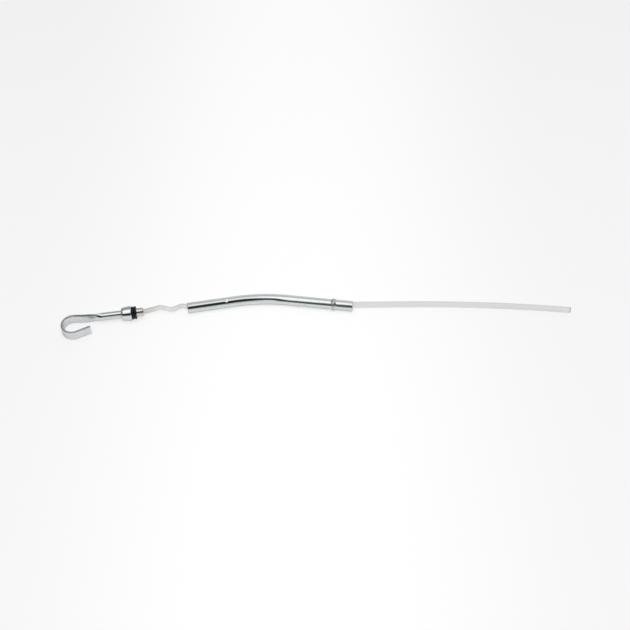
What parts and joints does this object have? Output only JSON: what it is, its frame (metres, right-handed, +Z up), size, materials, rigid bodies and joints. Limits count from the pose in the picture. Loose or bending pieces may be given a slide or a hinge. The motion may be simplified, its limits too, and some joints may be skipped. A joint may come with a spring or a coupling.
{
  "type": "engine oil dipstick",
  "caption": "Oil dipstick with a curled hook handle, sealing cap and wave-crimped flat blade, threaded through its bent guide tube, which has a stop bead and a press-in spigot.",
  "frame": {"origin": "on the guide tube's axis at the seat face of its stop bead, where the tube meets the engine block", "axes": "+X runs out of the spigot along the tube's lower leg, +Z is up from the table that the part lies on"},
  "size_m": [0.4493, 0.088, 0.0134],
  "materials": {
    "chrome": "polished chrome plate",
    "ferrule_steel": "turned, warm tint",
    "blade_steel": "rolled spring steel strip, satin",
    "seal_rubber": "moulded, slightly glossy"
  },
  "bodies": {
    "root": {"handle": "chrome", "cap": "chrome", "guide_tube": "chrome", "ferrule": "ferrule_steel", "blade": "blade_steel", "o_ring_upper": "seal_rubber", "o_ring_lower": "seal_rubber"}
  },
  "joints": []
}
